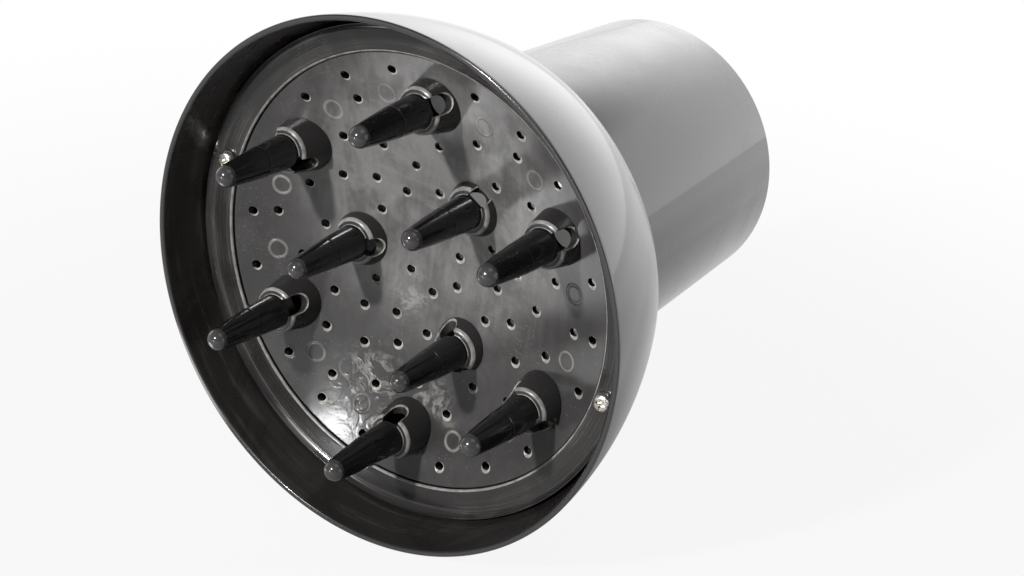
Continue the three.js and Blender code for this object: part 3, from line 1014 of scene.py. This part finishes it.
def makeFinger(name, node, bossHeight, outletDepth):
    circle, angle = fingerPlace(node)
    step = dishHeight(circle) + bossHeight
    flare = (finger["bossBaseRadius"] - finger["bossTopRadius"]) / bossHeight
    spigotEnd = dishHeight(circle - finger["spigotRadius"]) - dish["thickness"] - finger["spigotReach"]
    footRadius = finger["shankFootRadius"]
    tipRadius = finger["tipRadius"]
    ceiling = step - finger["bossCeiling"]
    boreTop = step + finger["boreAboveStep"]

    def shankSide(share):
        belly = 4 * finger["shankBulge"] * share * (1 - share)
        return footRadius + (tipRadius - footRadius) * share + belly, step + finger["shankLength"] * share

    line = finger["partingLine"]
    foot = finger["partingFoot"]
    parting = finger["partingShare"]
    room = finger["partingRoom"]
    lineRadius, lineHeight = shankSide(parting)
    sides = [shankSide(share) for share in steps(finger["shankStart"], parting - room, finger["lowSteps"])]
    sides += [(lineRadius + foot, lineHeight - 2 * line), (lineRadius + line, lineHeight),
              (lineRadius + foot, lineHeight + 2 * line)]
    sides += [shankSide(share) for share in steps(parting + room, 1, finger["highSteps"])]
    tip = [(tipRadius * math.cos(turn), step + finger["shankLength"] + tipRadius * math.sin(turn))
           for turn in steps(0, math.pi / 2, finger["tipSteps"])[1:-1]]
    tip.append((0, step + finger["shankLength"] + tipRadius))
    blank = spunShape([
        (0, boreTop),
        (finger["boreRadius"], boreTop, finger["boreRound"]),
        (finger["boreRadius"], ceiling, finger["hollowRound"]),
        (finger["hollowRadius"], ceiling, finger["hollowRound"]),
        (finger["hollowRadius"], spigotEnd),
        (finger["bossTopRadius"] + flare * (step - spigotEnd), spigotEnd),
        (finger["bossTopRadius"], step, finger["bossRound"]),
        (footRadius, step, finger["shankFootRound"]),
    ] + sides + tip, finger["turns"])
    clearance = fitGap + finger["bossBaseRadius"] ** 2 / (2 * dishSphere)
    low = clearance - finger["seatCutDepth"]
    outside = finger["seatCutRadius"]
    behindSeat = spunShape([
        (finger["spigotRadius"], low), (outside, low),
        (outside, clearance), (finger["spigotRadius"], clearance)], finger["socketTurns"])
    tilt = Matrix.Rotation(-math.asin(circle / dishSphere), 4, "Y")
    ontoSeat = Matrix.Translation((0, 0, dishHeight(circle))) @ tilt
    bmesh.ops.transform(behindSeat, matrix=ontoSeat, verts=behindSeat.verts)
    outlets = outletCutter(step, outletDepth, 0)
    widerOutlets = outletCutter(step, outletDepth, finger["outletEdge"])
    rebate = outletRebate(widerOutlets, flare, step, step - bossHeight)
    shape = combined(combined(blank, rebate, "DIFFERENCE"), outlets, "DIFFERENCE")
    if round(angle) == finger["turnedAngle"]:
        turn = Matrix.Rotation(math.radians(finger["turn"]), 3, "Z")
        bmesh.ops.rotate(shape, cent=(0, 0, 0), matrix=turn, verts=shape.verts)
    shape = combined(shape, behindSeat, "DIFFERENCE")
    paintFinger(shape, step)
    finishes = [fingerFinish, edgeHighlightFinish, stepHighlightFinish, tipSheenFinish, bossFinish]
    bmesh.ops.transform(shape, matrix=standAt(circle, angle), verts=shape.verts)
    return finishedPiece(name, shape, finishes, node)


# screws

def makeScrew(name, node):
    radius = screw["headRadius"]
    top = screwSeat + screw["headHeight"]
    edge = screwSeat + screw["headRim"]
    flat = radius - screw["headHeight"] + screw["headRim"]
    dome = [(flat + (radius - flat) * math.cos(turn), edge + (top - edge) * math.sin(turn))
            for turn in steps(0, math.pi / 2, screw["headSteps"])[:-1]]
    shape = spunShape([
        (0, screwTip),
        (screw["shankRadius"] / 2, screwTip),
        (screw["shankRadius"], screwTip + screw["shankRadius"]),
        (screw["shankRadius"], screwSeat),
        (radius, screwSeat, screw["headRound"]),
    ] + dome + [(flat, top), (0, top)], screw["turns"])
    arm = bmesh.new()
    bmesh.ops.create_cube(arm, size=1, matrix=Matrix.Translation((0, 0, top)) @ Matrix.Diagonal(
        (screw["recessLength"], screw["recessWidth"], 2 * screw["recessDepth"], 1)))
    crossArm = movedCopy(arm, Matrix.Rotation(math.pi / 2, 4, "Z"))
    shape = combined(shape, combined(arm, crossArm, "UNION"), "DIFFERENCE")
    bmesh.ops.transform(shape, matrix=standAt(*screwPlace(node)), verts=shape.verts)
    return finishedPiece(name, shape, [chromeFinish], node)


makeBell()
makeCollar()
makeRing()
makePlate()
for number, node in enumerate(outerFingerNodes, 1):
    makeFinger("outerFinger%d" % number, node, finger["outerBossHeight"], finger["outerOutletDepth"])
for number, node in enumerate(innerFingerNodes, 1):
    makeFinger("innerFinger%d" % number, node, finger["innerBossHeight"], finger["innerOutletDepth"])
makeScrew("plateScrew1", "plate_screw_1")
makeScrew("plateScrew2", "plate_screw_2")


# floor, lights and camera

studio = {
    "floorSize": 60.0,
    "floorColour": (0.45, 0.45, 0.445, 1),
    "floorRoughness": 0.7,
    "whiteNear": 0.9,  # share of plain white in the floor beside the object, and plain white far off
    "whiteMiddle": 0.1,  # how far in front of the origin that white is thinnest
    "fadeStart": 0.14,
    "fadeEnd": 0.42,
    "mirroredNear": 0.5,  # the same share in what the gloss shows, lower so that the floor near the object looks darker: a painted shade
    "mirroredFadeEnd": 0.7,
    "mirroredFrom": -0.15,  # the gloss shows the white from here backwards
    "mirroredRise": 0.2,
    "backdropTop": 0.55,  # height of the white backdrop, as the sine of its elevation
    "backdropFade": 0.15,
    "backdropSides": (-0.5, 0.1),  # it fades into the gloss between these, the Y of a direction
    "roomLight": 0.16,
}

view = {
    "aim": (0.0026, -0.0832, -0.0211),
    "azimuth": 31.2,
    "elevation": 25.54,
    "roll": 6.16,
    "distance": 0.75,
    "lens": 86.34,
    "sensor": 36,
}

lamps = {
    "mainLamp": {"azimuth": -11, "elevation": 27.5, "distance": 3.0,
                 "width": 0.165, "height": 0.165, "radiance": 1400.0, "softness": 0.2},
    "backWall": {"azimuth": 165, "elevation": 15, "distance": 1.4,
                 "width": 3.4, "height": 2.0, "radiance": 0.4, "softness": 0.5},
    "backLeft": {"azimuth": -155, "elevation": 22, "distance": 1.4,
                 "width": 1.8, "height": 1.6, "radiance": 0.66, "softness": 0.9},
    "topFill": {"azimuth": 60, "elevation": 70, "distance": 1.0,
                "width": 0.8, "height": 0.8, "radiance": 0.7, "softness": 0.5},
    "lowGlint": {"azimuth": -18, "elevation": -1, "distance": 0.8,
                 "width": 0.07, "height": 0.05, "radiance": 62.0, "softness": 0.4},
}

bounceCard = {  # lies on the floor in front of the rim and faces up
    "x": -0.1,
    "y": -0.19,
    "aboveFloor": 0.001,
    "size": 0.07,
    "radiance": 2.6,
    "softness": 0.5,
}


def makeFloor():
    height = cadBox[0][2]
    shape = bmesh.new()
    bmesh.ops.create_grid(shape, x_segments=1, y_segments=1, size=studio["floorSize"] / 2)
    bmesh.ops.translate(shape, vec=(0, 0, height), verts=shape.verts)
    floor = looseObject(shape)
    floor.name = "floor"
    paper = Finish(bpy.data.materials.new("floorPaper"), {
        "Base Color": studio["floorColour"],
        "Roughness": studio["floorRoughness"],
    })
    place = paper.place()
    along = paper.axis(place, "Y") + studio["whiteMiddle"]
    away = (paper.axis(place, "X") ** 2 + along ** 2) ** 0.5
    seen = paper.node("ShaderNodeLightPath", output="Is Camera Ray")
    mirrored = paper.node("ShaderNodeLightPath", output="Is Glossy Ray")
    whiteness = paper.between(away, studio["fadeStart"], studio["fadeEnd"], studio["whiteNear"], 1.0)
    # What the gloss sees of the floor is darker near the object: a painted shade beneath it.
    inGloss = paper.between(
        away, studio["fadeStart"], studio["mirroredFadeEnd"], studio["mirroredNear"], 1.0)
    behind = paper.between(
        paper.axis(place, "Y"), studio["mirroredFrom"], studio["mirroredFrom"] + studio["mirroredRise"])
    white = paper.node("ShaderNodeEmission", None, {"Color": (1, 1, 1, 1), "Strength": 1.0})
    lit = Wire(paper, paper.tree.nodes["Principled BSDF"].outputs[0])
    shown = paper.node("ShaderNodeMixShader", None, {
        0: paper.maths("MAXIMUM", seen * whiteness, mirrored * behind * inGloss), 1: lit, 2: white})
    paper.plug(paper.tree.nodes["Material Output"].inputs["Surface"], shown)
    floor.data.materials.append(paper.owner)


def makeRoom():
    # A dim room that the camera sees as white all round, with a white backdrop behind for the gloss.
    room = Finish(bpy.data.worlds.new("room"))
    bpy.context.scene.world = room.owner
    direction = room.node("ShaderNodeTexCoord", output="Generated")
    seen = room.node("ShaderNodeLightPath", output="Is Camera Ray")
    mirrored = room.node("ShaderNodeLightPath", output="Is Glossy Ray")
    top = studio["backdropTop"]
    low = room.between(room.axis(direction, "Z"), top - studio["backdropFade"], top, 1.0, 0.0)
    behind = room.between(room.axis(direction, "Y"), *studio["backdropSides"])
    dim = room.node("ShaderNodeBackground", None, {"Color": (1, 1, 1, 1), "Strength": studio["roomLight"]})
    white = room.node("ShaderNodeBackground", None, {"Color": (1, 1, 1, 1), "Strength": 1.0})
    shown = room.node("ShaderNodeMixShader", None, {
        0: room.maths("MAXIMUM", seen, mirrored * low * behind), 1: dim, 2: white})
    room.plug(room.tree.nodes["World Output"].inputs["Surface"], shown)


def towards(azimuth, elevation):
    # Azimuth 0 is in front of the mouth, and 90 is to the right of it.
    level = math.cos(math.radians(elevation))
    return Vector((level * math.sin(math.radians(azimuth)), -level * math.cos(math.radians(azimuth)),
                   math.sin(math.radians(elevation))))


def lampAt(name, location, facing, width, height, radiance, softness):
    # A flat lamp of an even brightness that fades out over the outer part of its face.
    lamp = bpy.data.lights.new(name, "AREA")
    lamp.shape = "RECTANGLE"
    lamp.size = width
    lamp.size_y = height
    lamp.energy = radiance * math.pi * width * height
    cloth = Finish(lamp)
    point = cloth.node("ShaderNodeNewGeometry", output="Parametric")
    across, up = [cloth.between(1 - abs(2 * cloth.axis(point, axis) - 1), 0, softness) for axis in "XY"]
    cloth.plug(cloth.tree.nodes["Emission"].inputs["Strength"], across * up)
    box = bpy.data.objects.new(name, lamp)
    bpy.context.scene.collection.objects.link(box)
    box.location = location
    box.rotation_euler = (-facing).to_track_quat("Z", "Y").to_euler()
    box.visible_camera = False


def softbox(name, azimuth, elevation, distance, width, height, radiance, softness):
    # A lamp at a direction from the object's middle, turned to face it.
    direction = towards(azimuth, elevation)
    middle = (Vector(cadBox[0]) + Vector(cadBox[1])) / 2
    lampAt(name, middle + direction * distance, -direction, width, height, radiance, softness)


def makeCamera():
    lens = bpy.data.cameras.new("camera")
    lens.lens = view["lens"]
    lens.sensor_width = view["sensor"]
    camera = bpy.data.objects.new("camera", lens)
    bpy.context.scene.collection.objects.link(camera)
    direction = towards(view["azimuth"], view["elevation"])
    roll = Matrix.Rotation(math.radians(view["roll"]), 3, "Z")
    camera.location = Vector(view["aim"]) + direction * view["distance"]
    camera.rotation_euler = (direction.to_track_quat("Z", "Y").to_matrix() @ roll).to_euler()
    bpy.context.scene.camera = camera


makeFloor()
makeRoom()
for lampName, lampValues in lamps.items():
    softbox(lampName, **lampValues)
cardPlace = Vector((bounceCard["x"], bounceCard["y"], cadBox[0][2] + bounceCard["aboveFloor"]))
lampAt("bounceCard", cardPlace, Vector((0, 0, 1)), bounceCard["size"], bounceCard["size"],
       bounceCard["radiance"], bounceCard["softness"])
makeCamera()
bpy.context.scene.view_settings.view_transform = "Standard"
print("floor, lights and camera ready")
